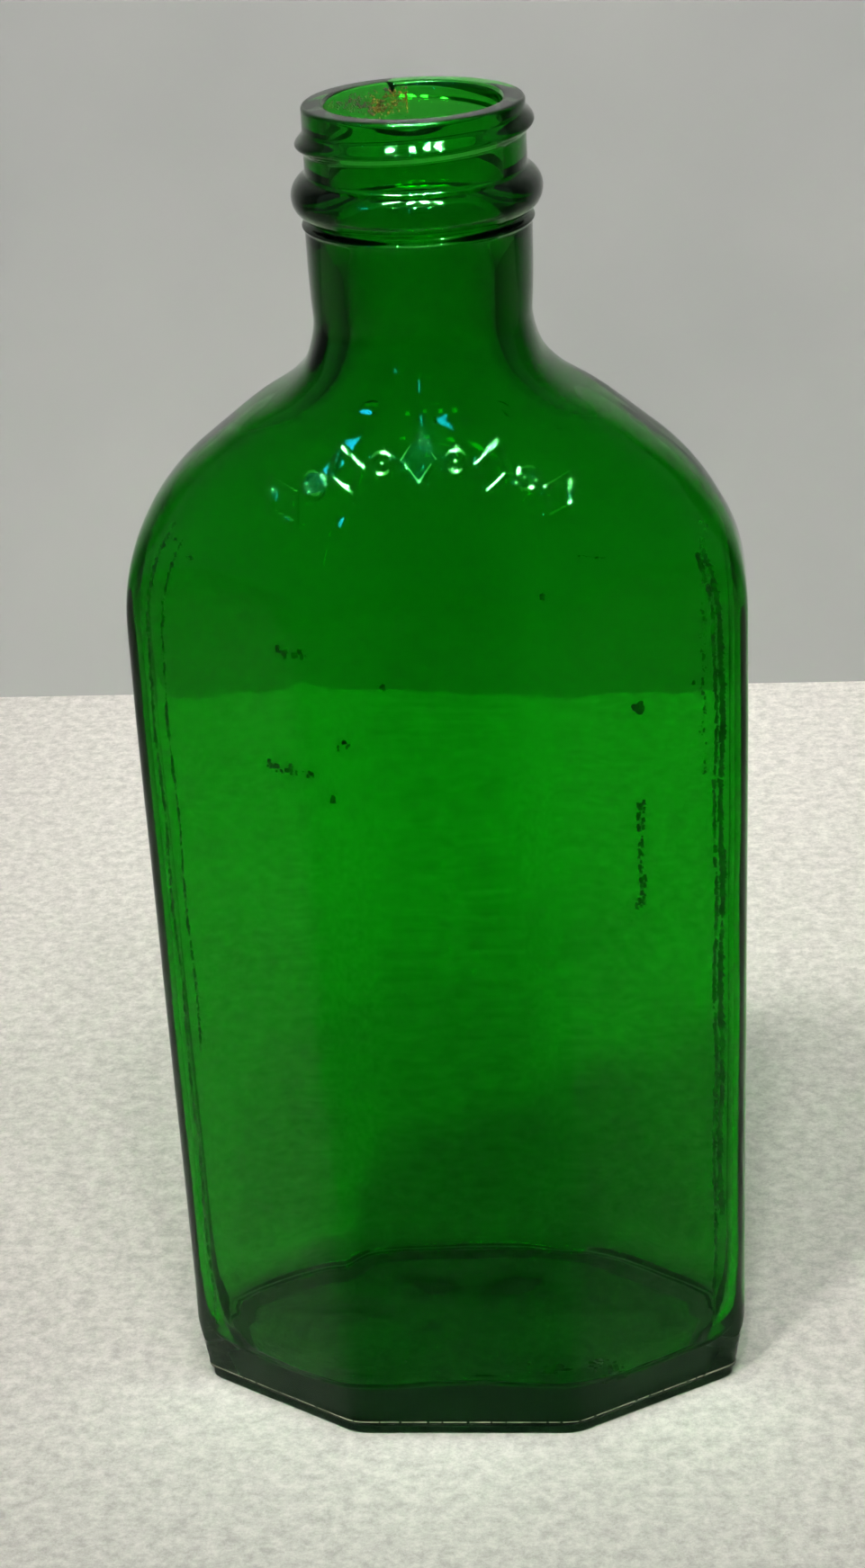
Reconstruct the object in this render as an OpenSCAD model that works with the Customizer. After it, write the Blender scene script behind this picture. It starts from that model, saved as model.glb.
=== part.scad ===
// Emerald glass medicine bottle: panelled body, arched shoulder, 33 mm screw finish.
// Units are millimetres, +Z is up, and the origin is the middle of the standing face.
// +X runs along the wide front, and the front panel faces -Y.

/* [Body] */
// Overall width across the narrow side panels
body_w = 87; // [70:0.5:100]
// Overall depth from front panel to back panel
body_d = 49; // [40:0.5:56]
// Width of the flat front and back panels
front_w = 33.5; // [24:0.5:44]
// Depth of the flat side panels
side_d = 15.5; // [10:0.5:20]
// Wall thickness of the body
wall = 3.4; // [2.4:0.1:4.4]
// How far each narrow side leans in from the shoulder down to the heel
heel_lean = 1; // [0:0.1:1.5]

/* [Shoulder] */
// Height at which the shoulder starts to curve in
shoulder_z = 126; // [110:0.5:130]
// Slope of the shoulder where it runs up to the neck, from level
shoulder_slope = 37.5; // [30:0.5:42]
// Radius of the shoulder arch, seen from the front
shoulder_r = 30.5; // [26:0.5:38]
// Height at which the front and back panels start to curve in
panel_z = 128; // [118:0.5:134]
// Radius of the front and back panels above that height
panel_r = 70; // [60:1:80]
// Slope of the front and back panels where they meet the neck, from level
panel_slope = 63; // [58:1:68]

/* [Base] */
// Height of the base plate, up to the mould line
plate_h = 2; // [1:0.1:3]
// How far the base plate stands in from the heel
plate_inset = 0.5; // [0.3:0.1:1.5]
// Thickness of the glass floor at its rim
floor_t = 6; // [4:0.1:8]
// Rise of the floor and of the hollow under it
push_up = 1.6; // [0:0.1:2.5]

/* [Neck and finish] */
// Overall height
total_h = 197; // [190:0.5:205]
// Outside diameter of the plain neck
neck_d = 30.6; // [28:0.1:31]
// Inside diameter of the neck and mouth
bore_d = 23.4; // [21:0.1:24.5]
// Outside diameter of the finish between the threads
root_d = 29.7; // [29:0.1:30]
// Outside diameter over the thread
thread_d = 31.9; // [31:0.1:32.5]
// Rise of the thread in one turn
thread_pitch = 4.23; // [3:0.01:5]
// Outside diameter of the transfer bead
bead_d = 33.8; // [32.5:0.1:35]
// Height of the middle of the transfer bead
bead_z = 185; // [183:0.5:186]
// Outside diameter of the neck ring ledge
ledge_d = 31; // [30.5:0.1:32]

/* [Residue] */
// Thickness of the dried crust inside the mouth
crust_t = 0.2; // [0.1:0.05:0.2]
// Thickness of the flakes on the floor
flake_t = 0.3; // [0.1:0.1:0.6]

/* [Hidden] */
$fn = 96;

glass = [0.02, 0.42, 0.06, 0.85];
panel_turn = [(body_w - front_w) / 2, (body_d - side_d) / 2];
panel_len = norm(panel_turn);
// The slanted panels: outward normal, and its angle from +X
slant_n = [panel_turn[1], panel_turn[0]] / panel_len;
slant_angle = atan2(slant_n[1], slant_n[0]);
slant_half = body_w / 2 * slant_n[0] + side_d / 2 * slant_n[1];
// The shoulder line would meet the straight side at this height
corner_z = shoulder_z + shoulder_r * tan((90 - shoulder_slope) / 2);
slant_slope = atan(tan(shoulder_slope) / slant_n[0]);
// The slanted panels start to curve in this much higher than the side panels
slant_start = 1;
slant_r = (corner_z - shoulder_z - slant_start) / tan((90 - slant_slope) / 2);
panel_corner_z = panel_z + panel_r * tan((90 - panel_slope) / 2);
// The sides lean in below lean_z, and curve in further below heel_z
lean_z = 110;
heel_z = 13;
heel_in = 1.4;
heel_r = 22;
// Share of that lean and curve which the slanted and the front panels have
slant_share = 0.3;
front_share = 0.4;
// Front and slanted panels turn a little below and above those heights
stagger = 1.5;
arc_over = 0.01;
trim_reach = 1.2;
past = 10;
plate_lap = 0.5;
flare_r = 6.5;
flare_z = 165.9;
flare_turn = 32;
bead_r = 3;
// Neck ring ledge: where it starts, and the heights of its slope, its edge and its top
ledge_z = bead_z - 4.5;
ledge_steps = [0.5, 1, 1.8];
bore_bottom = 152;
lip_edge = 0.8;
// Thread: height at the front, and turn angles of its two ends from there
thread_z = 192.85;
thread_from = -160;
thread_to = 200;
thread_r = 1.5;
thread_sides = 8;
thread_step = 10;
// Each end of the thread sinks into the glass over this angle, by this much
fade_turn = 40;
fade_sink = 1.3;
mouth_edge = 0.4;
dome_reach = 17;
dome_r = (dome_reach * dome_reach + push_up * push_up) / (2 * push_up);
dome_sides = 240;
crust_start = 98;
crust_turn = 84;
crust_z = 191.5;
crust_h = 4.8;
// Each flake on the floor: X, Y and diameter
flakes = [[12.4, -15.4, 2.4], [14.8, -16.2, 1.4], [19, -12.6, 1.8], [20.9, -15.4, 2], [22.6, -14.2, 1.2],
    [17.4, -15.2, 1], [9.8, -14.6, 0.8], [-4, -17.2, 0.6]];

// A 2D corner piece that lies outside an arc of radius r, which meets both edges at b.
// The arc is a hair oversize, so that it crosses each edge instead of only touching it,
// and the piece reaches past both edges.
module corner_trim(a, b, c, r) {
    u = (a - b) / norm(a - b);
    v = (c - b) / norm(c - b);
    half = acos(u * v) / 2;
    t = r / tan(half);
    centre = b + (u + v) / norm(u + v) * r / sin(half);
    difference() {
        polygon([for (p = [b + u * t, b, b + v * t, centre]) centre + (p - centre) * trim_reach]);
        translate(centre) circle(r = r + arc_over);
    }
}

// A polygon whose corners are rounded by the radius given for each of them
module soft_outline(points, radii) {
    n = len(points);
    difference() {
        polygon(points);
        for (i = [0:n - 1])
            if (radii[i] > 0)
                corner_trim(points[(i + n - 1) % n], points[i], points[(i + 1) % n], radii[i]);
    }
}

// Half of an arched outline, mirrored: leaning side, heel, sloped shoulder.
// Share scales the lean and the heel, and both start higher by shift.
module arched_outline(half, corner, slope, r, bottom, share, shift) {
    top = corner + half * tan(slope);
    side = [[half - (heel_lean + heel_in) * share, bottom], [half - heel_lean * share, heel_z + shift],
            [half, lean_z + shift], [half, corner]];
    left = [for (i = [len(side) - 1:-1:0]) [-side[i][0], side[i][1]]];
    soft_outline(concat(side, [[0, top]], left), [0, heel_r, 0, r, 0, r, 0, heel_r, 0]);
}

// A 2D outline in X and Z becomes a bar along Y
module along_y(length) {
    rotate([90, 0, 0]) linear_extrude(length, center = true) children();
}

// The panelled body with its shoulder, drawn in by inset for the cavity
module body_form(inset, bottom) {
    intersection() {
        along_y(body_d + past)
            arched_outline(body_w / 2 - inset, corner_z - inset * tan((90 - shoulder_slope) / 2),
                shoulder_slope, shoulder_r - inset, bottom, 1, 0);
        rotate([0, 0, 90]) along_y(body_w + past)
            arched_outline(body_d / 2 - inset, panel_corner_z - inset * tan((90 - panel_slope) / 2),
                panel_slope, panel_r - inset, bottom, front_share, -stagger);
        intersection_for (side = [0, 1])
            mirror([side, 0, 0]) rotate([0, 0, slant_angle]) along_y(body_w * 2)
                arched_outline(slant_half - inset, corner_z - inset * tan((90 - slant_slope) / 2),
                    slant_slope, slant_r - inset, bottom, slant_share, stagger);
    }
}

// Octagonal plan of the standing face, inside the heel of each panel
module plate_outline() {
    draw = heel_lean + heel_in;
    x = body_w / 2 - draw - plate_inset;
    y = body_d / 2 - draw * front_share - plate_inset;
    slant = slant_half - draw * slant_share - plate_inset;
    fx = (slant - slant_n[1] * y) / slant_n[0];
    sy = (slant - slant_n[0] * x) / slant_n[1];
    polygon([[fx, -y], [x, -sy], [x, sy], [fx, y], [-fx, y], [-x, sy], [-x, -sy], [-fx, -y]]);
}

// Neck, neck ring ledge, transfer bead and lip as one turned form
module neck_outline() {
    foot_r = neck_d / 2 + flare_r * (1 - cos(flare_turn));
    difference() {
        translate([0, bore_bottom]) square([foot_r, flare_z - bore_bottom]);
        translate([neck_d / 2 + flare_r, flare_z]) circle(r = flare_r);
    }
    ledge = [for (step = ledge_steps) ledge_z + step];
    translate([0, flare_z]) square([neck_d / 2, ledge_z - flare_z]);
    polygon([[0, ledge_z], [neck_d / 2, ledge_z], [ledge_d / 2, ledge[0]],
        [ledge_d / 2, ledge[1]], [root_d / 2, ledge[2]], [0, ledge[2]]]);
    translate([bead_d / 2 - bead_r, bead_z]) circle(r = bead_r);
    translate([0, ledge[2]]) square([root_d / 2, total_h - ledge[2] - lip_edge]);
    translate([0, total_h - lip_edge]) square([root_d / 2 - lip_edge, lip_edge]);
    translate([root_d / 2 - lip_edge, total_h - lip_edge]) circle(r = lip_edge);
}

// One ring of the thread, at a turn angle from the front of the bottle
function thread_ring(a) =
    let (fade = min(1, (a - thread_from) / fade_turn, (thread_to - a) / fade_turn),
         r = thread_d / 2 - thread_r - (1 - fade) * fade_sink,
         z = thread_z + thread_pitch * a / 360)
    [for (i = [0:thread_sides - 1])
        let (t = 360 * i / thread_sides, s = r + thread_r * cos(t))
        [s * sin(a), -s * cos(a), z + thread_r * sin(t)]];

// The raised glass thread: a bar swept along a right-hand helix
module thread() {
    rings = [for (a = [thread_from:thread_step:thread_to]) thread_ring(a)];
    n = len(rings);
    s = thread_sides;
    points = [for (ring = rings) for (p = ring) p];
    sides = [for (j = [0:n - 2]) for (i = [0:s - 1]) let (k = (i + 1) % s)
        for (f = [[j * s + i, j * s + k, (j + 1) * s + k], [j * s + i, (j + 1) * s + k, (j + 1) * s + i]]) f];
    ends = [[for (i = [s - 1:-1:0]) i], [for (i = [0:s - 1]) (n - 1) * s + i]];
    polyhedron(points, concat(sides, ends));
}

// A shallow dome of glass, whose top stands at z
module dome(z) {
    translate([0, 0, z - dome_r]) sphere(r = dome_r, $fn = dome_sides);
}

// The space that holds the medicine: body cavity, neck and mouth
module cavity() {
    difference() {
        body_form(wall, floor_t);
        dome(floor_t + push_up);
    }
    translate([0, 0, bore_bottom]) cylinder(d = bore_d, h = total_h);
    translate([0, 0, total_h - mouth_edge])
        cylinder(d1 = bore_d, d2 = bore_d + 4 * mouth_edge, h = 2 * mouth_edge);
}

module bottle() {
    color(glass) difference() {
        union() {
            body_form(0, plate_h);
            linear_extrude(plate_h + plate_lap) plate_outline();
            rotate_extrude() neck_outline();
            thread();
        }
        cavity();
        dome(push_up);
    }
}

// A thin brown crust on the wall of the mouth, towards the back and -X
module mouth_residue() {
    color("saddlebrown") rotate([0, 0, crust_start]) rotate_extrude(angle = crust_turn)
        translate([bore_d / 2 - crust_t, crust_z]) square([crust_t, crust_h]);
}

// Loose dark flakes that lie on the floor of the cavity
module floor_residue() {
    color("darkslategray") for (f = flakes)
        translate([f[0], f[1], floor_t]) cylinder(d = f[2], h = flake_t);
}

bottle();
mouth_residue();
floor_residue();
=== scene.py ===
"""Looks of the emerald medicine bottle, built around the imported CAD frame.

Lengths inside the shape functions are millimetres in the CAD frame, and MM turns them into metres.
"""
import math
import random

import bpy
import numpy as np
from mathutils import Matrix, Vector, noise


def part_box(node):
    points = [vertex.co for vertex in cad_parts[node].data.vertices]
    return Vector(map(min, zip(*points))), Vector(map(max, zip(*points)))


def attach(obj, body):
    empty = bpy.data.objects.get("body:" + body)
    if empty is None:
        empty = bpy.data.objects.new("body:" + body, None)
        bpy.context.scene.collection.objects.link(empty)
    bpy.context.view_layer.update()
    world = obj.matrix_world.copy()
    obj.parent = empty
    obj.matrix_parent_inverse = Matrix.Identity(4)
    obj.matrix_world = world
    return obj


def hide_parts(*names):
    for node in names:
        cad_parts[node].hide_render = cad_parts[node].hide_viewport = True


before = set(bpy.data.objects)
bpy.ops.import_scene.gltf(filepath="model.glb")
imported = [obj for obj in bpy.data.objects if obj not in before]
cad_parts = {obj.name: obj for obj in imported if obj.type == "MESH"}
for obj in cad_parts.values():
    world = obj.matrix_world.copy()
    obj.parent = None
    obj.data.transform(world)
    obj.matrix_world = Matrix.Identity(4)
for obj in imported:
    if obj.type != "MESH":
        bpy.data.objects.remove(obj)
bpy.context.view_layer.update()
MM = 0.001

# ---------------------------------------------------------------- driving dimensions, in millimetres
low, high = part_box("bottle")
HALF_W = (high.x - low.x) / 2 / MM
HALF_D = (high.y - low.y) / 2 / MM
TOP = high.z / MM
# Half widths of the flat front and side panels, and the wall thickness
FRONT_HALF = 16.75
SIDE_HALF = 7.75
WALL = 3.4
# The narrow sides lean in from LEAN_Z down to LEAN_END_Z, and curve in further below HEEL_Z
LEAN = 1.0
LEAN_Z = 110.0
LEAN_END_Z = 13.0
HEEL_IN = 1.4
HEEL_Z = 11.5
HEEL_H = 9.5
# Shares of that lean and curve which the slanted and the front panels have
SLANT_SHARE = 0.3
FRONT_SHARE = 0.4
# Base plate, rounded rim that the bottle stands on, glass floor, and the hollow under it
PLATE_H = 2.0
PLATE_STEP = 0.5
RIM_R = 0.45
FLOOR_T = 6.0
INNER_HEEL_R = 2.6
PUSH_UP = 1.6
# Shoulder: where the side panels and the front panels start to curve in, with what radius and slope
SHOULDER_Z = 126.0
SHOULDER_R = 30.5
SHOULDER_SLOPE = math.radians(37.5)
PANEL_Z = 128.0
PANEL_R = 70.0
PANEL_SLOPE = math.radians(63.0)
# The softer panel edges of the shoulder take glass away, and this much is put back over this height
SOFTEN_MADE_UP = 0.55
SOFTEN_H = 18.0
# Share of an even offset by which the side panels are narrower inside than outside
BAND_SHARE = 0.9
# Neck, its bore, and its flare into the shoulder
NECK_R = 15.3
BORE_R = 11.7
NECK_TOP_Z = 168.0
NECK_FLARE_R = 13.0
NECK_FLARE_Z = 169.6
NECK_FLARE_TURN = math.radians(52)
# How far outside the neck's radius the panels stay: just below the neck, more for each millimetre above
# NECK_TOP_Z, and the extra for the side and the slanted panels
CLEAR_BELOW = 0.9
CLEAR_RISE = 0.35
SIDE_CLEAR = 0.9
SLANT_CLEAR = 0.4
# Finish: root between the threads, bead, ledge below the bead, lip and mouth
ROOT_R = 14.85
BEAD_R = 16.9
BEAD_Z = 185.0
BEAD_MINOR_R = 3.0
LEDGE_Z = 181.1
LEDGE_OUT = 0.36
LEDGE_ABOVE = 0.5
LEDGE_BELOW = 0.3
LIP_EDGE = 0.55
MOUTH_EDGE = 0.7
# Thread: how far it stands out, height of its crest at the front, rise in one turn, and how far its bump
# reaches up and down from the crest
THREAD_RISE = 1.1
THREAD_Z = 192.85
THREAD_PITCH = 4.23
THREAD_ABOVE = 1.9
THREAD_BELOW = 1.35
# Turn angles of the thread's two ends, in degrees from the front, and the degrees each end takes to rise
THREAD_FROM = -158.0
THREAD_TO = 199.5
THREAD_FADE_IN = 25
THREAD_FADE_OUT = 7
# Below this height there is no thread, and it fades out just under the lip
THREAD_FIRST_Z = 187
THREAD_UNDER_LIP = 0.9
# Where the glass is thicker or thinner inside than an even wall. At the heel the slanted panels are
# thinner below HEEL_THINNER_Z, and reach their thinnest HEEL_THINNER_H further down
NECK_THICKER = 1.6
CENTRE_THICKER = 0.5
SIDE_THINNER = 1.2
HEEL_THINNER = 1.1
HEEL_THINNER_Z = 15.0
HEEL_THINNER_H = 6.0
# Waves in the glass: length and heights of the slow ones outside and inside, then the small ones inside,
# then those of the glass floor
WAVE_LENGTH = 24.0
OUTER_WAVE = 0.05
INNER_WAVE = 0.2
RIPPLE_LENGTH = 8.0
INNER_RIPPLE = 0.015
FLOOR_WAVE_LENGTH = 7.0
FLOOR_WAVE = 0.3
# The waves outside lie between these heights, and those inside fade out over WAVE_FADE_H below the upper one
WAVE_FOOT_Z = 4
WAVE_TOP_Z = 172
WAVE_FADE_H = 20
# Crispness of the panel edges: outside at the foot, on the body and on the shoulder, then inside on the
# body, on the shoulder and by the floor
FOOT_SHARP = 80.0
BODY_SHARP = 45.0
OUTER_SOFT = 12.0
INNER_SHARP = 42.0
INNER_SOFT = 11.0
INNER_HEEL_SOFT = 9.0

# The slanted panels face this way, between +X and +Y
_run = np.array([HALF_W - FRONT_HALF, HALF_D - SIDE_HALF])
SLANT_X, SLANT_Y = _run[1] / np.linalg.norm(_run), _run[0] / np.linalg.norm(_run)
SLANT_ANGLE = math.atan2(SLANT_Y, SLANT_X)


def smooth(t):
    """0 to 1 with flat ends."""
    t = np.clip(t, 0.0, 1.0)
    return t * t * (3 - 2 * t)


# ---------------------------------------------------------------- the bottle's section at a height
def arch(half, start, radius, slope, z):
    """Half width of a panel that rises straight, bends in on an arc and then leans at a slope."""
    lift = math.cos(slope) * radius
    arc = half - radius + np.sqrt(np.clip(radius ** 2 - np.clip(z - start, 0, lift) ** 2, 0, None))
    return arc - np.clip(z - start - lift, 0, None) / math.tan(slope)


def lean_in(z):
    """How far the narrow sides lean in below the shoulder."""
    return LEAN * np.clip((LEAN_Z - z) / (LEAN_Z - LEAN_END_Z), 0, 1)


def heel_in(z):
    """How far the narrow sides curve in further at the heel."""
    return HEEL_IN * smooth((HEEL_Z - z) / HEEL_H)


def held(distance, least):
    """Keeps a distance above a least value, with a soft turn between the two."""
    turn = 0.8
    return least + turn * np.logaddexp(0, (distance - least) / turn)


def panel_distances(z, wall):
    """Distances from the axis to the side, slanted and front panels at height z."""
    side = arch(HALF_W - wall, SHOULDER_Z, SHOULDER_R - wall, SHOULDER_SLOPE, z)
    front = arch(HALF_D - wall, PANEL_Z, PANEL_R - wall, PANEL_SLOPE, z)
    band = SIDE_HALF - wall * math.tan(SLANT_ANGLE / 2) * BAND_SHARE
    slant = side * SLANT_X + band * SLANT_Y
    if wall:
        side = side + SIDE_THINNER
        slant = slant + HEEL_THINNER * smooth((HEEL_THINNER_Z - z) / HEEL_THINNER_H)
    fuller = SOFTEN_MADE_UP * smooth((z - SHOULDER_Z) / SOFTEN_H)
    # By the neck the panels stay outside its radius, so that they don't cut into it
    clear = CLEAR_BELOW * smooth((NECK_TOP_Z - z) / 8) + CLEAR_RISE * np.clip(z - NECK_TOP_Z, 0, None)
    least = NECK_R - wall + clear
    side = held(side + fuller, least + SIDE_CLEAR)
    slant = held(slant + fuller, least + SLANT_CLEAR)
    front = held(front, least)
    inset = lean_in(z) + (heel_in(z) if wall == 0 else 0)
    step = PLATE_STEP * smooth((PLATE_H + 0.15 - z) / 0.3) if wall == 0 else 0
    return side - inset - step, slant - inset * SLANT_SHARE - step, front - inset * FRONT_SHARE - step


def crispness(z, sharp, soft):
    """How crisp the panel edges are: sharp on the body, and fading out over the shoulder."""
    return sharp + (soft - sharp) * float(smooth((z - SHOULDER_Z + 4) / 20))


def flare(radius, bend, top, z):
    """Radius of a neck that opens into the shoulder below top."""
    turn = NECK_FLARE_TURN
    drop = np.clip(top - z, 0, None)
    arc = radius + bend - np.sqrt(np.clip(bend ** 2 - np.clip(drop, 0, bend * math.sin(turn)) ** 2, 0, None))
    past = np.clip(drop - bend * math.sin(turn), 0, None)
    return arc + past * math.tan(turn) + 0.5 * past ** 2


def finish_radius(z):
    """Radius of neck, ring ledge, bead, root and lip above the neck flare."""
    bead_curve = np.sqrt(np.clip(BEAD_MINOR_R ** 2 - (z - BEAD_Z) ** 2, 0.01, None))
    bead = np.where(abs(z - BEAD_Z) < BEAD_MINOR_R, BEAD_R - BEAD_MINOR_R + bead_curve, 0)
    plain = NECK_R + (ROOT_R - NECK_R) * smooth((z - LEDGE_Z) / 0.8)
    # A high power takes the larger of the two, with a narrow fillet where they meet
    power = 60
    both = (plain ** power + bead ** power) ** (1 / power)
    ledge_width = np.where(z > LEDGE_Z, LEDGE_ABOVE, LEDGE_BELOW)
    return both + LEDGE_OUT * np.exp(-((z - LEDGE_Z) / ledge_width) ** 2)


def thread_bump(angle, z):
    """Height of the raised thread at a turn angle from the front, in degrees, towards +X."""
    out = np.zeros_like(z)
    for turn in (-360.0, 0.0, 360.0):
        a = angle + turn
        crest = THREAD_Z + THREAD_PITCH * a / 360
        near = np.clip(np.where(z > crest, (z - crest) / THREAD_ABOVE, (crest - z) / THREAD_BELOW), 0, 1)
        fade = smooth((a - THREAD_FROM) / THREAD_FADE_IN) * smooth((THREAD_TO - a) / THREAD_FADE_OUT)
        out = np.maximum(out, THREAD_RISE * 0.5 * (1 + np.cos(math.pi * near)) * fade)
    return out


def section_radius(theta, z, wall, edge):
    """Distance from the axis to the glass at angle theta and height z.

    The edge sets how crisp the corners between the panels are.
    """
    side, slant, front = panel_distances(z, wall)
    if wall == 0:
        neck = flare(NECK_R, NECK_FLARE_R, NECK_FLARE_Z, z)
        round_r = np.where(z < LEDGE_Z - 1, neck, finish_radius(z))
    else:
        bore = BORE_R - NECK_THICKER * smooth((BEAD_Z + 1 - z) / 10)
        round_r = flare(bore, NECK_FLARE_R + wall, NECK_FLARE_Z, z)
    slant_turns = (SLANT_ANGLE, -SLANT_ANGLE, math.pi - SLANT_ANGLE, math.pi + SLANT_ANGLE)
    panels = ((side, (0, math.pi)), (front, (math.pi / 2, -math.pi / 2)), (slant, slant_turns))
    total = round_r ** -edge
    for distance, turns in panels:
        for turn in turns:
            total = total + (np.clip(np.cos(theta - turn), 0, None) / distance) ** edge
    return total ** (-1 / edge)


# ---------------------------------------------------------------- where the points of a ring go
SIDE_STEPS = 12
# Steps across a slanted panel and half a front panel, for the back and then for the front
BACK_STEPS = (36, 28)
FORE_STEPS = (84, 64)


def crowd(n, lean):
    """n + 1 values from 0 to 1 that crowd towards both ends by lean, from 0 to 1."""
    t = np.linspace(0, 1, n + 1)
    return t * (1 - lean) + lean * smooth(t)


def ring_angles(z, wall):
    """Angles of one ring's points, so that the same points follow each corner up the bottle."""
    side, slant, front = (float(d) for d in panel_distances(np.array(float(z)), wall))
    side_y = (slant - SLANT_X * side) / SLANT_Y
    front_x = max((slant - SLANT_Y * front) / SLANT_X, front * 0.12)
    a1, a2 = math.atan2(side_y, side), math.atan2(front, front_x)
    to_side = a1 * crowd(2 * SIDE_STEPS, 0.7)[SIDE_STEPS:] * 2 - a1

    def quadrant(slant_steps, front_steps):
        """Angles from the middle of a narrow side to just before the middle of a wide face."""
        along = a1 + (a2 - a1) * crowd(slant_steps, 0.6)
        across = np.arctan2(front, front_x * (1 - np.linspace(0, 1, front_steps + 1)))
        return np.concatenate([to_side[:-1], along[:-1], across[:-1]])

    back, fore = quadrant(*BACK_STEPS), quadrant(*FORE_STEPS)
    half_pi = math.pi / 2
    return np.concatenate([back, [half_pi], math.pi - back[:0:-1], [math.pi],
                           math.pi + fore[1:], [3 * half_pi], 2 * math.pi - fore[:0:-1]])


# ---------------------------------------------------------------- the raised ornament on the shoulder
# The arc in front: height of its centre, its radius, the turn from one figure to the next, and how many
# figures there are on each side of the middle one
ARC_Z = 121.0
ARC_R = 32.5
ARC_PITCH = math.radians(8.6)
ARC_COUNT = 4
LOZENGE_HALF_W = 2.2
LOZENGE_HALF_H = 3.0
BEAD_RING_R = 1.35
# Half width and height of the raised lines, and radius and height of the dot in each ring
LINE_HALF_W = 0.55
LINE_H = 0.42
DOT_R = 0.6
DOT_H = 0.35
# The plain rings behind: X of each, height at the middle of their arc, how it drops, radius and raised line
BACK_RINGS_X = (-18, -10, 10, 18)
BACK_RINGS_Z = 151.5
BACK_RINGS_DROP = 0.012
BACK_RING_R = 1.2
BACK_LINE_HALF_W = 0.4
BACK_LINE_H = 0.3
# Heights between which there is relief, and how far from the middle plane it starts
RELIEF_FOOT_Z = 138
RELIEF_TOP_Z = 163
RELIEF_LEAST_Y = 9


def ridge(distance, half_width, height):
    """A raised line with a rounded top, at a distance from its middle."""
    return height * (0.5 + 0.5 * np.cos(math.pi * np.clip(distance / half_width, -1, 1)))


def front_ornament(x, z):
    """Relief on the front of the shoulder: an arc of lozenges and ringed beads in turn."""
    out = np.zeros_like(x)
    lozenge_slope = LOZENGE_HALF_W * LOZENGE_HALF_H / math.hypot(LOZENGE_HALF_W, LOZENGE_HALF_H)
    for i in range(-ARC_COUNT, ARC_COUNT + 1):
        a = ARC_PITCH * i
        dx, dz = x - ARC_R * math.sin(a), z - ARC_Z - ARC_R * math.cos(a)
        u, v = dx * math.cos(a) - dz * math.sin(a), dx * math.sin(a) + dz * math.cos(a)
        if i % 2 == 0:
            edge = (abs(u) / LOZENGE_HALF_W + abs(v) / LOZENGE_HALF_H - 1) * lozenge_slope
            out = np.maximum(out, ridge(edge, LINE_HALF_W, LINE_H))
        else:
            out = np.maximum(out, ridge(np.hypot(u, v) - BEAD_RING_R, LINE_HALF_W, LINE_H))
            out = np.maximum(out, ridge(np.hypot(u, v), DOT_R, DOT_H))
    return out


def back_ornament(x, z):
    """Relief on the back of the shoulder: four plain rings."""
    out = np.zeros_like(x)
    for ring_x in BACK_RINGS_X:
        drop = BACK_RINGS_DROP * ring_x * ring_x
        from_ring = np.hypot(x - ring_x, z - BACK_RINGS_Z + drop) - BACK_RING_R
        out = np.maximum(out, ridge(from_ring, BACK_LINE_HALF_W, BACK_LINE_H))
    return out


def waves(points, size, height):
    """Slow unevenness of blown glass, one value for each point."""
    return np.array([noise.noise(Vector(p) / size) for p in points]) * height


# ---------------------------------------------------------------- rings of the closed glass skin
def outer_ring(z):
    """One ring of the outside, with thread, rounded lip, ornament and slow waves."""
    theta = ring_angles(z, 0)
    zz = np.full_like(theta, z)
    body_edge = FOOT_SHARP - (FOOT_SHARP - BODY_SHARP) * float(smooth((z - 3) / 14))
    r = section_radius(theta, zz, 0, crispness(z, body_edge, OUTER_SOFT))
    if z > THREAD_FIRST_Z:
        turn = (np.degrees(theta) + 90 + 180) % 360 - 180
        r = r + thread_bump(turn, zz) * smooth((TOP - THREAD_UNDER_LIP - z) / 0.5)
    if z > TOP - LIP_EDGE:
        r = r - LIP_EDGE + np.sqrt(np.clip(LIP_EDGE ** 2 - (z - TOP + LIP_EDGE) ** 2, 0, None))
    x, y = r * np.cos(theta), r * np.sin(theta)
    if RELIEF_FOOT_Z < z < RELIEF_TOP_Z:
        relief = np.where(y < 0, front_ornament(x, zz), back_ornament(x, zz))
        y = y + np.sign(y) * relief * smooth((abs(y) - RELIEF_LEAST_Y) / 4)
    points = np.stack([x, y, zz], 1)
    if WAVE_FOOT_Z < z < WAVE_TOP_Z:
        out = waves(points, WAVE_LENGTH, OUTER_WAVE)
        points[:, :2] *= (1 + out / r)[:, None]
    return points


def inner_ring(z, inset=0.0):
    """One ring of the inside, whose corners are softest by the floor and on the shoulder."""
    theta = ring_angles(z, WALL)
    edge = min(crispness(z, INNER_SHARP, INNER_SOFT), INNER_HEEL_SOFT + max(0.0, z - 9) * 3)
    r = section_radius(theta, np.full_like(theta, z), WALL, edge)
    points = np.stack([r * np.cos(theta), r * np.sin(theta), np.full_like(theta, z)], 1)
    x, y = points[:, 0], points[:, 1]
    uneven = waves(points, WAVE_LENGTH, INNER_WAVE) + waves(points, RIPPLE_LENGTH, INNER_RIPPLE)
    centre = CENTRE_THICKER * np.exp(-(x / 11) ** 4) * smooth((abs(y) - 8) / 6)
    r = r + uneven * smooth((WAVE_TOP_Z - z) / WAVE_FADE_H) - centre - inset
    return np.stack([r * np.cos(theta), r * np.sin(theta), np.full_like(theta, z)], 1)


def floor_height(points):
    """Height of the inside floor: it rises towards the middle of the bottle."""
    x, y = points[:, 0], points[:, 1]
    dome = PUSH_UP * np.exp(-((x / 16) ** 2 + (y / 30) ** 2))
    return FLOOR_T + dome + waves(points, FLOOR_WAVE_LENGTH, FLOOR_WAVE)


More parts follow.
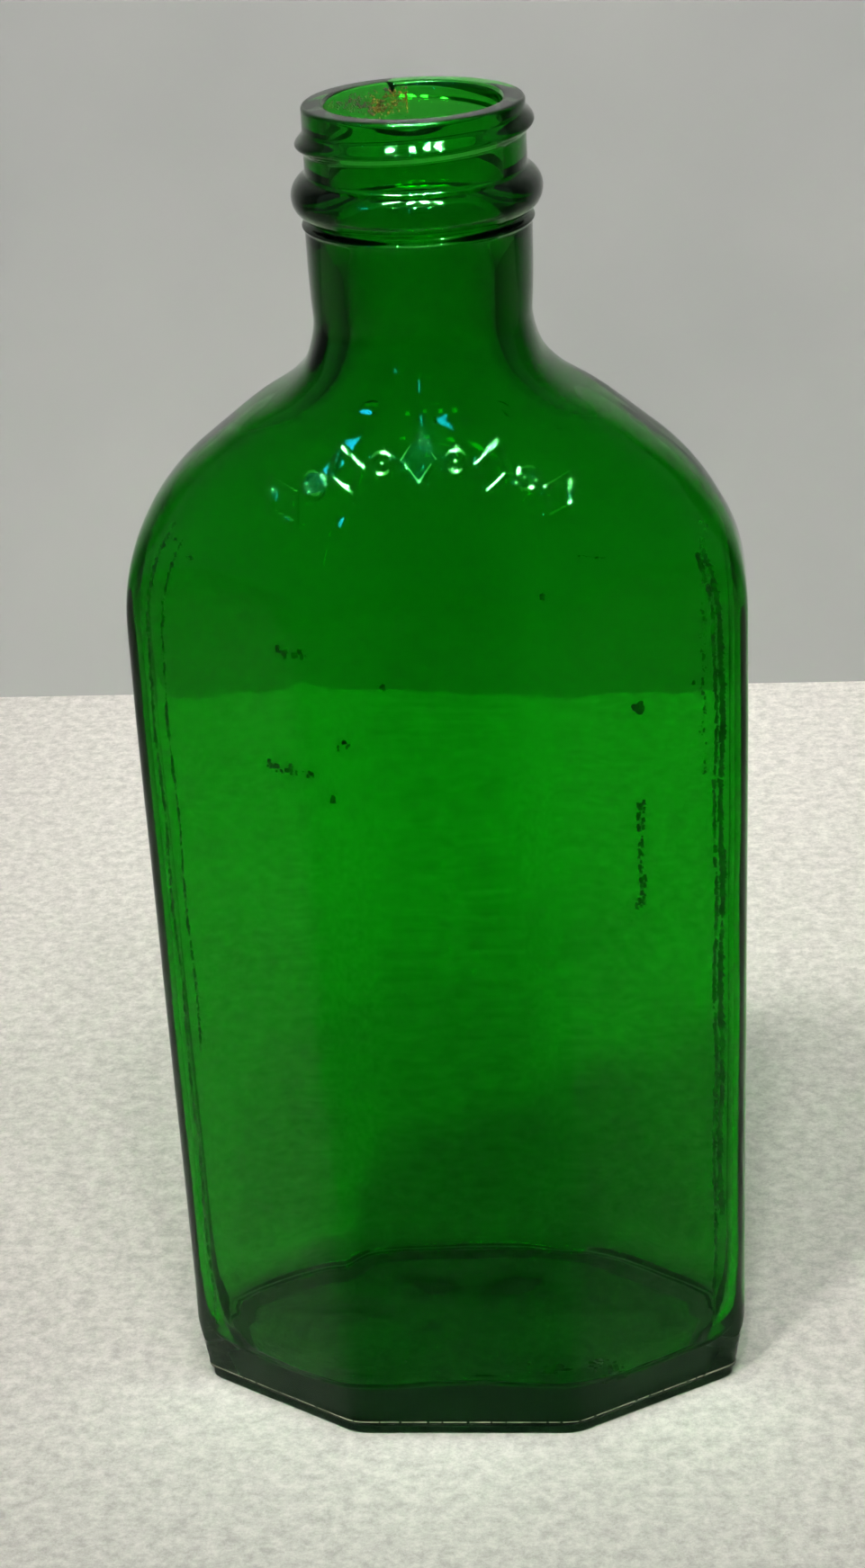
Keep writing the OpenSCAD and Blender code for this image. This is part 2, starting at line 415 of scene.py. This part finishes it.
# Ring heights: each pair is a height to go on to, and the spacing of the rings on the way there
OUTSIDE_STEPS = ((1.8, 0.45), (2.4, 0.1), (10.5, 0.6), (118, 3.2), (142, 1.2), (147, 0.3), (158, 0.2),
                 (172, 0.5), (179.5, 1.4), (182.6, 0.12), (188.4, 0.24), (TOP - LIP_EDGE, 0.22))
INSIDE_TOP = 195.5
INSIDE_STEPS = ((168, 1.1), (120, 0.9), (16, 3.2), (FLOOR_T + INNER_HEEL_R, 1.2))


def stepped(start, steps):
    """Heights from start through each stretch of steps, without the last one's end."""
    heights = []
    for stop, step in steps:
        count = max(1, round(abs(stop - start) / step))
        heights += [start + (stop - start) * i / count for i in range(count)]
        start = stop
    return heights


def underside_rings():
    """Rings from the middle of the hollow underside out to the rounded rim."""
    foot = outer_ring(0.0)
    radius = np.linalg.norm(foot[:, :2], axis=1)[:, None]
    rings = []
    for s in np.linspace(0.05, 1, 22):
        ring = foot.copy()
        ring[:, :2] *= s * (radius - RIM_R) / radius
        ring[:, 2] = PUSH_UP * (1 - smooth((s - 0.12) / 0.72))
        rings.append(ring)
    for a in (0.3, 0.6, 0.9, 1.2):
        ring = foot.copy()
        ring[:, :2] *= (radius - RIM_R + RIM_R * math.sin(a)) / radius
        ring[:, 2] = RIM_R * (1 - math.cos(a))
        rings.append(ring)
    return rings


def outside_rings():
    """Rings up the outside to the top of the lip."""
    heights = stepped(RIM_R, OUTSIDE_STEPS)
    heights += [TOP - LIP_EDGE * (1 - math.sin(a)) for a in np.linspace(0, math.pi / 2, 7)]
    return [outer_ring(z) for z in heights]


def lip_rings(lip):
    """Rings across the flat lip and over the rounded edge of the mouth."""
    theta = np.arctan2(lip[:, 1], lip[:, 0])
    out_r = np.linalg.norm(lip[:, :2], axis=1)

    def circle(r, z):
        """One ring at radius r and height z."""
        return np.stack([r * np.cos(theta), r * np.sin(theta), np.full_like(theta, z)], 1)

    rings = [circle(out_r + (BORE_R + MOUTH_EDGE - out_r) * t, TOP) for t in (0.33, 0.66, 1.0)]
    for a in np.linspace(0, math.pi / 2, 7)[1:]:
        rings.append(circle(BORE_R + MOUTH_EDGE * (1 - math.sin(a)), TOP - MOUTH_EDGE * (1 - math.cos(a))))
    return rings


def inside_rings():
    """Rings down the inside, round the inner heel and in to the middle of the floor."""
    rings = [inner_ring(z) for z in stepped(INSIDE_TOP, INSIDE_STEPS)]
    for a in np.linspace(0, math.pi / 2, 9):
        ring = inner_ring(FLOOR_T + INNER_HEEL_R, inset=INNER_HEEL_R * (1 - math.cos(a)))
        ring[:, 2] = floor_height(ring) + INNER_HEEL_R * (1 - math.sin(a))
        rings.append(ring)
    floor = rings[-1]
    for s in np.linspace(1, 0.05, 20)[1:]:
        ring = floor.copy()
        ring[:, :2] *= s
        ring[:, 2] = floor_height(ring)
        rings.append(ring)
    return rings


def mesh_object(name, points, faces, material, shade_smooth=True):
    """A mesh object from points in millimetres."""
    mesh = bpy.data.meshes.new(name)
    mesh.from_pydata([tuple(p) for p in np.asarray(points) * MM], [], faces)
    mesh.validate()
    mesh.update()
    if shade_smooth:
        mesh.polygons.foreach_set("use_smooth", [True] * len(mesh.polygons))
    mesh.materials.append(material)
    obj = bpy.data.objects.new(name, mesh)
    bpy.context.scene.collection.objects.link(obj)
    return obj


def build_glass(material):
    """The closed glass skin: every ring joined to the next, and a fan of faces at each end."""
    outside = underside_rings() + outside_rings()
    rings = outside + lip_rings(outside[-1]) + inside_rings()
    n, count = len(rings[0]), len(rings)
    points = np.concatenate(rings)
    start, end = points[:n].mean(0), points[-n:].mean(0)
    points = np.concatenate([points, [start, end]])
    start_at, end_at = len(points) - 2, len(points) - 1
    faces = []
    for i in range(count - 1):
        for j in range(n):
            k = (j + 1) % n
            faces.append((i * n + j, i * n + k, (i + 1) * n + k, (i + 1) * n + j))
    last = (count - 1) * n
    faces += [(start_at, (j + 1) % n, j) for j in range(n)]
    faces += [(end_at, last + j, last + (j + 1) % n) for j in range(n)]
    obj = mesh_object("glass_bottle", points, faces, material)
    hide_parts("bottle")
    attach(obj, "root")


# ---------------------------------------------------------------- crust and flakes
# Each cluster: turn from +X in degrees, height, spread in turn and in height, count, largest island
CRUST_CLUSTERS = ((97, 194.2, 2.5, 0.9, 50, 0.22), (102, 194.2, 3, 0.9, 50, 0.20),
                  (110, 193.6, 4, 0.6, 60, 0.28), (119, 193.8, 4, 0.6, 80, 0.28),
                  (129, 194.2, 5, 0.5, 70, 0.22), (140, 194.8, 5, 0.4, 60, 0.18),
                  (152, 195.4, 6, 0.3, 45, 0.15), (163, 195.9, 5, 0.2, 25, 0.12),
                  (122, 194.9, 14, 0.8, 70, 0.11), (108, 195.2, 5, 0.6, 80, 0.22),
                  (134, 195.3, 8, 0.5, 90, 0.2))
# The turns and the heights that the crust keeps between
CRUST_TURNS = (98.5, 181.0)
CRUST_HEIGHTS = (190.1, 196.2)
# Each group of flakes: X, Y, spread, count, largest flake. All of them are FLAKE_T thick
FLAKE_GROUPS = ((13.2, -15.6, 1.0, 22, 1.1), (19.0, -12.6, 0.9, 12, 0.8), (21.5, -15.0, 1.1, 18, 0.8),
                (17.4, -15.2, 0.5, 5, 0.5), (9.2, -13.6, 0.4, 4, 0.5), (-4.0, -12.0, 2.0, 3, 0.3))
FLAKE_T = 0.25


def clamp(value, limits):
    """Keeps a value between a lower and an upper limit."""
    return min(limits[1], max(limits[0], value))


def prism(points, faces, centre, u, v, radii, lift, up):
    """Adds a small raised blot round centre, with one radius for each of its corners."""
    n = len(radii)
    first = len(points)
    for level, shrink in ((0.0, 1.0), (lift, 0.8)):
        for i, radius in enumerate(radii):
            a = 2 * math.pi * i / n
            points.append(centre + (u * math.cos(a) + v * math.sin(a)) * radius * shrink + up * level)
    faces += [(first + i, first + (i + 1) % n, first + n + (i + 1) % n, first + n + i) for i in range(n)]
    faces.append(tuple(first + n + i for i in range(n)))


def ragged(rng, size, corners=9):
    """Radii of an uneven round shape."""
    return [size * rng.uniform(0.55, 1.1) for _ in range(corners)]


def dress(name, points, faces, material, node=None):
    """Makes one small piece that stays with the bottle."""
    obj = mesh_object(name, points, faces, material, False)
    if node:
        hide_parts(node)
    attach(obj, "root")


def build_crust(material):
    """Brown crust on the wall of the mouth: crowded small islands that thin out towards -X."""
    rng = random.Random(11)
    points, faces = [], []
    up_z = np.array([0.0, 0.0, 1.0])
    for turn, height, spread, rise, count, largest in CRUST_CLUSTERS:
        for _ in range(count):
            a = math.radians(clamp(rng.gauss(turn, spread), CRUST_TURNS))
            z = clamp(rng.gauss(height, rise), CRUST_HEIGHTS)
            out = np.array([math.cos(a), math.sin(a), 0.0])
            across = np.array([-math.sin(a), math.cos(a), 0.0])
            size = largest * rng.uniform(0.2, 1.0) ** 1.5
            lift = 0.04 + 0.3 * size
            prism(points, faces, out * BORE_R + up_z * z, across, up_z, ragged(rng, size), lift, -out)
    dress("mouth_crust", points, faces, material, "mouth_residue")


def build_flakes(material):
    """Black flakes that lie on the glass floor, near the front of it."""
    rng = random.Random(5)
    points, faces = [], []
    along, deep, up = np.eye(3)
    for x, y, spread, count, largest in FLAKE_GROUPS:
        for _ in range(count):
            place = np.array([rng.gauss(x, spread), rng.gauss(y, spread * 0.7), 0.0])
            place[2] = floor_height(place[None, :])[0]
            radii = ragged(rng, largest * rng.uniform(0.3, 1), 7)
            prism(points, faces, place, along, deep, radii, FLAKE_T, up)
    dress("floor_flakes", points, faces, material, "floor_residue")


# ---------------------------------------------------------------- specks, scuffs and scratches
# Lone specks: X, height, size, stretch in height
LONE_SPECKS = ((27.6, 117.4, 0.75, 1.0), (-6.3, 124.2, 0.3, 1.3), (-11.9, 116.1, 0.28, 1.6),
               (-14.0, 107.5, 0.4, 1.6), (15.4, 136.4, 0.3, 2.0), (2.0, 159.0, 0.3, 1.0),
               (35.0, 119.0, 0.22, 2.0), (-32.0, 139.0, 0.3, 1.0), (-34.0, 141.0, 0.25, 1.0))
# Scuffs with short upright ticks: from X, to X, height, count
SCUFFS = ((-22.5, -16.0, 111.2, 34), (-20.5, -16.0, 128.6, 16), (-13.0, -10.5, 115.5, 8))
# Scratches: from X and height, to X and height, size
SCRATCHES = ((5.0, 79.0, 14.0, 77.2, 0.1), (20.0, 84.0, 31.0, 86.0, 0.09), (20.5, 80.5, 31.0, 82.2, 0.08),
             (20.0, 140.7, 23.8, 139.4, 0.2))
# Broken dark lines that run down beside the two side edges: side, offset from it, from and to height, size
EDGE_LINES = ((-1, 3.7, 143, 12, 0.09), (-1, 5.9, 141, 60, 0.08), (1, 4.4, 138, 30, 0.17),
              (1, 5.3, 137, 12, 0.12))
# The long drip's ranges of X and height and that of its lower end, then the crackled line's X and heights
DRIP_X = (27.0, 28.0)
DRIP_Z = (87, 103)
DRIP_END_Z = (86.6, 88.2)
CRACKLE_X = 36.4
CRACKLE_Z = (104, 142)
# The marks lie this far behind the inner face of the wall, and this much lower than the heights above,
# because the camera looks down through the glass to them
SPECK_DEPTH = 0.75
SPECK_DROP = 1.9
SPECK_CORNERS = 9


class FrontMarks:
    """Collects small dark marks just behind the inner face of the front and slanted walls."""

    def __init__(self, seed):
        """Starts with no marks and its own row of random draws."""
        self.rng = random.Random(seed)
        self.points = []
        self.faces = []

    def skin(self, x, z):
        """A point just behind the inner face of the front or slanted wall at x and height z."""
        _, slant, front = (float(d) for d in panel_distances(np.array(float(z)), WALL))
        return np.array([x, SPECK_DEPTH - min(front, (slant - SLANT_X * abs(x)) / SLANT_Y), z])

    def blot(self, x, z, size, stretch=1.0):
        """One ragged spot, stretched in height."""
        along, _, up = np.eye(3)
        radii = []
        for i, r in enumerate(ragged(self.rng, size, SPECK_CORNERS)):
            a = 2 * math.pi * i / SPECK_CORNERS
            radii.append(r * (abs(math.cos(a)) + stretch * abs(math.sin(a))))
        out = np.array([0.0, -1.0, 0.0])
        prism(self.points, self.faces, self.skin(x, z - SPECK_DROP), along, up, radii, 0.05, out)

    def scratch(self, x0, z0, x1, z1, size):
        """A row of small spots along a line."""
        rng = self.rng
        steps = max(2, round(math.hypot(x1 - x0, z1 - z0) / 0.5))
        for i in range(steps):
            t = (i + rng.uniform(0, 0.8)) / steps
            z = z0 + (z1 - z0) * t + rng.gauss(0, 0.06)
            self.blot(x0 + (x1 - x0) * t, z, size * rng.uniform(0.3, 1.2), 0.6)


def mark_drip_and_crackle(marks):
    """The long drip on the right, and the crackled line beside the right-hand edge."""
    rng = marks.rng
    for _ in range(70):
        marks.blot(rng.uniform(*DRIP_X), rng.uniform(*DRIP_Z), rng.uniform(0.08, 0.2), rng.uniform(1, 4))
    for _ in range(9):
        marks.blot(DRIP_X[0] + rng.gauss(0, 0.3), rng.uniform(*DRIP_END_Z), 0.2, 1.5)
    for _ in range(90):
        z = rng.uniform(*CRACKLE_Z)
        x = CRACKLE_X + 0.2 * math.sin(z) + rng.gauss(0, 0.18)
        marks.blot(x, z, rng.uniform(0.05, 0.17), rng.uniform(1, 3))


def mark_edge_line(marks, side, offset, start, stop, size):
    """One broken line that follows a side edge down."""
    rng = marks.rng
    z = start
    while z > stop:
        x = side * (HALF_W - lean_in(z) - offset - 0.35 * math.sin(z / 9) ** 2)
        if z > SHOULDER_Z:
            x -= side * (z - SHOULDER_Z) ** 2 * 0.02
        if rng.random() < 0.9:
            marks.blot(x + rng.gauss(0, 0.05), z, size * rng.uniform(0.6, 1.3), rng.uniform(2, 6))
        z -= rng.uniform(0.15, 0.6)


def build_specks(material):
    """Scuffs, scratches and specks on the front panels."""
    marks = FrontMarks(3)
    rng = marks.rng
    for x, z, size, stretch in LONE_SPECKS:
        for _ in range(4):
            marks.blot(x + rng.gauss(0, size * 0.4), z + rng.gauss(0, size * 0.5), size * 0.7, stretch)
    for x0, x1, z, count in SCUFFS:
        for _ in range(count):
            x = rng.uniform(x0, x1)
            marks.blot(x, z + rng.gauss(0, 0.3), rng.uniform(0.06, 0.2), rng.uniform(1, 3.5))
    for scratch in SCRATCHES:
        marks.scratch(*scratch)
    mark_drip_and_crackle(marks)
    for line in EDGE_LINES:
        mark_edge_line(marks, *line)
    dress("wall_specks", marks.points, marks.faces, material)


def build_seam(material):
    """A pale line along the edge where the base plate meets the body: a row of thin dashes."""
    rng = random.Random(8)
    points, faces = [], []
    foot = outer_ring(PLATE_H + 0.55)
    ends = np.linalg.norm(np.roll(foot, -1, 0) - foot, axis=1)
    along = np.concatenate([[0], np.cumsum(ends)])
    loop = np.concatenate([foot, foot[:1]])
    dash_parts = 4
    proud = 0.03
    place = 0.0
    while place < along[-1]:
        length = rng.uniform(0.8, 4)
        stops = np.linspace(place, min(place + length, along[-1]), dash_parts + 1)
        path = np.stack([np.interp(stops, along, loop[:, i]) for i in range(3)], 1)
        out = path * (1, 1, 0) / np.linalg.norm(path[:, :2], axis=1)[:, None] * proud
        first = len(points)
        half = rng.uniform(0.05, 0.11)
        for point, push in zip(path, out):
            points.append(point + push + (0, 0, -half))
            points.append(point + push + (0, 0, half))
        for i in range(dash_parts):
            near, far = first + 2 * i, first + 2 * i + 2
            faces.append((near, far, far + 1, near + 1))
        place += length + rng.uniform(0, 0.5)
    dress("pale_seam_line", points, faces, material)


# ---------------------------------------------------------------- materials
def new_material(name):
    """A material with its nodes, its links and its main shader."""
    mat = bpy.data.materials.new(name)
    mat.use_nodes = True
    nodes, links = mat.node_tree.nodes, mat.node_tree.links
    return mat, nodes, links, nodes["Principled BSDF"]


def set_inputs(node, values):
    """Gives sockets of a node their constant values."""
    for name, value in values.items():
        node.inputs[name].default_value = value


def noise_node(nodes, links, scale, detail, roughness=0.5):
    """A noise texture that stays fixed to the object."""
    coords = nodes.new("ShaderNodeTexCoord")
    tex = nodes.new("ShaderNodeTexNoise")
    set_inputs(tex, {"Scale": scale, "Detail": detail, "Roughness": roughness})
    links.new(coords.outputs["Object"], tex.inputs["Vector"])
    return tex


def colour_ramp(nodes, links, source, stops):
    """Turns a texture value into colours: stops holds a position and a colour for each."""
    ramp = nodes.new("ShaderNodeValToRGB")
    for element, (place, colour) in zip(ramp.color_ramp.elements, stops):
        element.position = place
        element.color = (*colour, 1)
    links.new(source.outputs["Fac"], ramp.inputs["Fac"])
    return ramp


def map_range(nodes, links, source, from_range, to_range):
    """Turns one range of a texture's value into another."""
    node = nodes.new("ShaderNodeMapRange")
    set_inputs(node, {"From Min": from_range[0], "From Max": from_range[1]})
    set_inputs(node, {"To Min": to_range[0], "To Max": to_range[1]})
    links.new(source.outputs["Fac"], node.inputs["Value"])
    return node


def pool_of_light(nodes, links, ramp, centre, reach, full, darkest):
    """Darkens a colour away from a centre, down to a share of it at a reach along X, Y and Z.

    The colour is at its brightest where the pool's own value, 1 at the centre, is above full.
    """
    coords = nodes.new("ShaderNodeTexCoord")
    place = nodes.new("ShaderNodeMapping")
    place.vector_type = "TEXTURE"
    set_inputs(place, {"Location": centre, "Scale": reach})
    pool = nodes.new("ShaderNodeTexGradient")
    pool.gradient_type = "SPHERICAL"
    links.new(coords.outputs["Object"], place.inputs["Vector"])
    links.new(place.outputs["Vector"], pool.inputs["Vector"])
    fade = map_range(nodes, links, pool, (0.0, full), (darkest, 1.0))
    shade = nodes.new("ShaderNodeMix")
    shade.data_type = "RGBA"
    shade.blend_type = "MULTIPLY"
    set_inputs(shade, {"Factor": 1.0})
    links.new(ramp.outputs["Color"], shade.inputs["A"])
    links.new(fade.outputs["Result"], shade.inputs["B"])
    return shade


def glass_material():
    """Emerald glass: colour comes from absorption inside the wall, and the skin is slightly uneven."""
    mat, nodes, links, shader = new_material("emerald_glass")
    set_inputs(shader, {"Base Color": (1, 1, 1, 1), "Transmission Weight": 1.0, "IOR": 1.52,
                        "Specular Tint": (0.06, 0.48, 0.1, 1)})
    smear = noise_node(nodes, links, 60, 6)
    roughness = map_range(nodes, links, smear, (0.45, 0.8), (0.015, 0.05))
    links.new(roughness.outputs["Result"], shader.inputs["Roughness"])
    ripple = noise_node(nodes, links, 110, 3)
    bump = nodes.new("ShaderNodeBump")
    set_inputs(bump, {"Strength": 0.07, "Distance": 0.0002})
    links.new(ripple.outputs["Fac"], bump.inputs["Height"])
    links.new(bump.outputs["Normal"], shader.inputs["Normal"])
    absorb = nodes.new("ShaderNodeVolumeAbsorption")
    set_inputs(absorb, {"Color": (0.02, 0.803, 0.0, 1), "Density": 900})
    links.new(absorb.outputs["Volume"], nodes["Material Output"].inputs["Volume"])
    return mat


def mottled_matt_material(name, dark, light, scale):
    """Matt material whose colour changes from speck to speck, for the dirt and for the pale line along the
    seam.
    """
    mat, nodes, links, shader = new_material(name)
    mottle = noise_node(nodes, links, scale, 6)
    ramp = colour_ramp(nodes, links, mottle, ((0.35, dark), (0.62, light)))
    links.new(ramp.outputs["Color"], shader.inputs["Base Color"])
    set_inputs(shader, {"Roughness": 0.85, "Specular IOR Level": 0.1})
    return mat


def floor_material():
    """Pale counter with a fine mottle and a painted pool of light: its colour darkens away from a place
    behind the bottle.
    """
    mat, nodes, links, shader = new_material("pale_counter")
    mottle = noise_node(nodes, links, 380, 10, 0.85)
    stops = ((0.40, (0.55, 0.535, 0.505)), (0.60, (0.85, 0.82, 0.775)))
    ramp = colour_ramp(nodes, links, mottle, stops)
    # Painted pool of light: the colour, not a lamp, makes the counter brighter behind the bottle and darker
    # towards the front
    shade = pool_of_light(nodes, links, ramp, (0, 0.26, 0), (0.36, 0.45, 1), 0.87, 0.355)
    links.new(shade.outputs["Result"], shader.inputs["Base Color"])
    set_inputs(shader, {"Roughness": 0.6, "Specular IOR Level": 0.0})
    return mat


def wall_material():
    """Grey wall with a painted pool of light, its colour darker away from a place behind the bottle; from
    its back it lets everything through.
    """
    mat, nodes, links, shader = new_material("grey_wall")
    veins = noise_node(nodes, links, 9, 5)
    stops = ((0.3, (0.378, 0.388, 0.384)), (0.7, (0.445, 0.45, 0.445)))
    ramp = colour_ramp(nodes, links, veins, stops)
    # Painted pool of light: the colour darkens towards both sides and upwards, away from a place low behind
    # the bottle
    centre = (0, WALL_Y * MM, 0.1)
    shade = pool_of_light(nodes, links, ramp, centre, (0.55, 1, 0.8), 0.72, 0.25)
    links.new(shade.outputs["Result"], shader.inputs["Base Color"])
    set_inputs(shader, {"Roughness": 0.8, "Specular IOR Level": 0.0})
    clear = nodes.new("ShaderNodeBsdfTransparent")
    side = nodes.new("ShaderNodeNewGeometry")
    mix = nodes.new("ShaderNodeMixShader")
    links.new(side.outputs["Backfacing"], mix.inputs["Fac"])
    links.new(shader.outputs["BSDF"], mix.inputs[1])
    links.new(clear.outputs["BSDF"], mix.inputs[2])
    links.new(mix.outputs["Shader"], nodes["Material Output"].inputs["Surface"])
    return mat


# ---------------------------------------------------------------- camera
# The camera stands at CAMERA_AT, in metres, and CAMERA_TURN then swings it round the bottle's axis
CAMERA_AT = Vector((-2.03, -401.7, 281.2)) * MM
CAMERA_PITCH = math.radians(24.525)
CAMERA_ROLL = math.radians(2.969)
CAMERA_TURN = math.radians(4.924)
SENSOR_MM = 36
LENS_MM = 69.9036


def place_camera():
    """The photograph's viewpoint: in front, a little to the right, looking down."""
    ahead = Vector((0, math.cos(CAMERA_PITCH), -math.sin(CAMERA_PITCH)))
    right = Vector((1, 0, 0))
    up = right.cross(ahead)
    camera_x = right * math.cos(CAMERA_ROLL) - up * math.sin(CAMERA_ROLL)
    camera_y = right * math.sin(CAMERA_ROLL) + up * math.cos(CAMERA_ROLL)
    view = Matrix((camera_x, camera_y, -ahead)).transposed().to_4x4()
    view.translation = CAMERA_AT
    data = bpy.data.cameras.new("camera")
    data.sensor_fit = "VERTICAL"
    data.sensor_height = SENSOR_MM
    data.lens = LENS_MM
    data.clip_start = 0.01
    camera = bpy.data.objects.new("camera", data)
    camera.matrix_world = Matrix.Rotation(CAMERA_TURN, 4, "Z") @ view
    bpy.context.scene.collection.objects.link(camera)
    bpy.context.scene.camera = camera


# ---------------------------------------------------------------- stage and light
# Half width of the counter and the wall, distance of the wall behind the bottle, and its height, in mm
STAGE_HALF = 1800
WALL_Y = 268
WALL_H = 600
WARM = (1, 0.97, 0.92)
DEEP_BLUE = (0.02, 0.16, 1)
# Lamps are aimed at this point, in metres
LAMP_TARGET = Vector((0, 0, 0.1))
# Key lamps cast the soft shadows. Each one: azimuth, elevation, size
KEY_DISTANCE = 1.6
KEY_RADIANCE = 240
KEY_LAMPS = ((-30, 62, 0.135), (-2, 56, 0.11), (16, 56, 0.085), (29, 54, 0.07))
# The lamp behind: azimuth, elevation, distance, width and height, radiance
BACK_LAMP = (176, 62, 0.62, (0.2, 0.2), 4.5)
# Lamps that light no matt surface and show as glints. Each one: azimuth, elevation, width, height, radiance
GLINT_DISTANCE = 1.2
HIGH_GLINTS = tuple((azimuth, elevation, 0.08, 0.3, 800)
                    for azimuth, elevation in ((-43, 70), (-8, 71), (18, 70), (36, 64)))
LOW_GLINTS = tuple((azimuth, 45, 0.06, 0.06, 2000) for azimuth in (-19, 1, 18, 31))
# Blue windows that show as small patches on the shoulder. Each one: azimuth, elevation, width, height
WINDOW_RADIANCE = 110
WINDOWS = ((-3, 24, 0.02, 0.1), (-3, 38, 0.02, 0.06), (-52, 36.5, 0.2, 0.07), (13, 39.5, 0.15, 0.03),
           (-24, 16, 0.03, 0.06))


def area_light(name, azimuth, elevation, distance, size, radiance, colour=(1, 1, 1)):
    """A lamp aimed at the bottle, whose power follows from its radiance and area.

    Size is its width and height, and azimuth runs from the front towards +X.
    """
    a, e = math.radians(azimuth), math.radians(elevation)
    away = Vector((math.sin(a) * math.cos(e), -math.cos(a) * math.cos(e), math.sin(e)))
    place = LAMP_TARGET + distance * away
    data = bpy.data.lights.new(name, "AREA")
    data.shape = "RECTANGLE"
    data.size, data.size_y = size
    data.energy = radiance * math.pi * size[0] * size[1]
    data.color = colour
    light = bpy.data.objects.new(name, data)
    light.location = place
    light.rotation_euler = (LAMP_TARGET - place).to_track_quat("-Z", "Y").to_euler()
    bpy.context.scene.collection.objects.link(light)
    return light


def build_world():
    """Faint even light from all round."""
    world = bpy.data.worlds.new("studio")
    bpy.context.scene.world = world
    world.use_nodes = True
    set_inputs(world.node_tree.nodes["Background"], {"Color": (0.93, 0.96, 1.0, 1), "Strength": 0.3})


def build_counter_and_wall():
    """The plain pale floor, and the grey wall behind."""
    half, far, top = STAGE_HALF, WALL_Y, WALL_H
    floor_points = [(-half, -half, 0), (half, -half, 0), (half, half, 0), (-half, half, 0)]
    wall_points = [(-half, far, 0), (half, far, 0), (half, far, top), (-half, far, top)]
    mesh_object("counter", floor_points, [(0, 1, 2, 3)], floor_material(), False)
    mesh_object("wall", wall_points, [(0, 1, 2, 3)], wall_material(), False)


def build_lamps():
    """Key lamps, the lamp behind, glint lamps and windows."""
    for i, (azimuth, elevation, size) in enumerate(KEY_LAMPS):
        lamp = area_light(f"key_{i}", azimuth, elevation, KEY_DISTANCE, (size, size), KEY_RADIANCE, WARM)
        lamp.visible_glossy = False
        lamp.visible_transmission = False
    area_light("back_lamp", *BACK_LAMP, WARM).visible_glossy = False
    for i, (azimuth, elevation, width, height, radiance) in enumerate(HIGH_GLINTS + LOW_GLINTS):
        lamp = area_light(f"glint_{i}", azimuth, elevation, GLINT_DISTANCE, (width, height), radiance)
        lamp.visible_diffuse = False
    for i, (azimuth, elevation, width, height) in enumerate(WINDOWS):
        lamp = area_light(f"window_{i}", azimuth, elevation, GLINT_DISTANCE, (width, height),
                          WINDOW_RADIANCE, DEEP_BLUE)
        lamp.visible_diffuse = False


# ---------------------------------------------------------------- the whole scene
scene = bpy.context.scene
scene.view_settings.view_transform = "Standard"
scene.cycles.max_bounces = 24
scene.cycles.transmission_bounces = 24
scene.cycles.transparent_max_bounces = 16

place_camera()
build_world()
build_counter_and_wall()
build_lamps()
build_glass(glass_material())
build_crust(mottled_matt_material("dried_residue", (0.012, 0.009, 0.001), (0.06, 0.043, 0.003), 900))
build_flakes(mottled_matt_material("dark_flakes", (0.003, 0.005, 0.002), (0.03, 0.03, 0.018), 700))
build_specks(mottled_matt_material("wall_film", (0.0, 0.02, 0.0), (0.006, 0.075, 0.004), 500))
# Pale matt dashes along the seam between the base plate and the body
build_seam(mottled_matt_material("pale_seam_colour", (0.10, 0.12, 0.07), (0.34, 0.33, 0.24), 300))
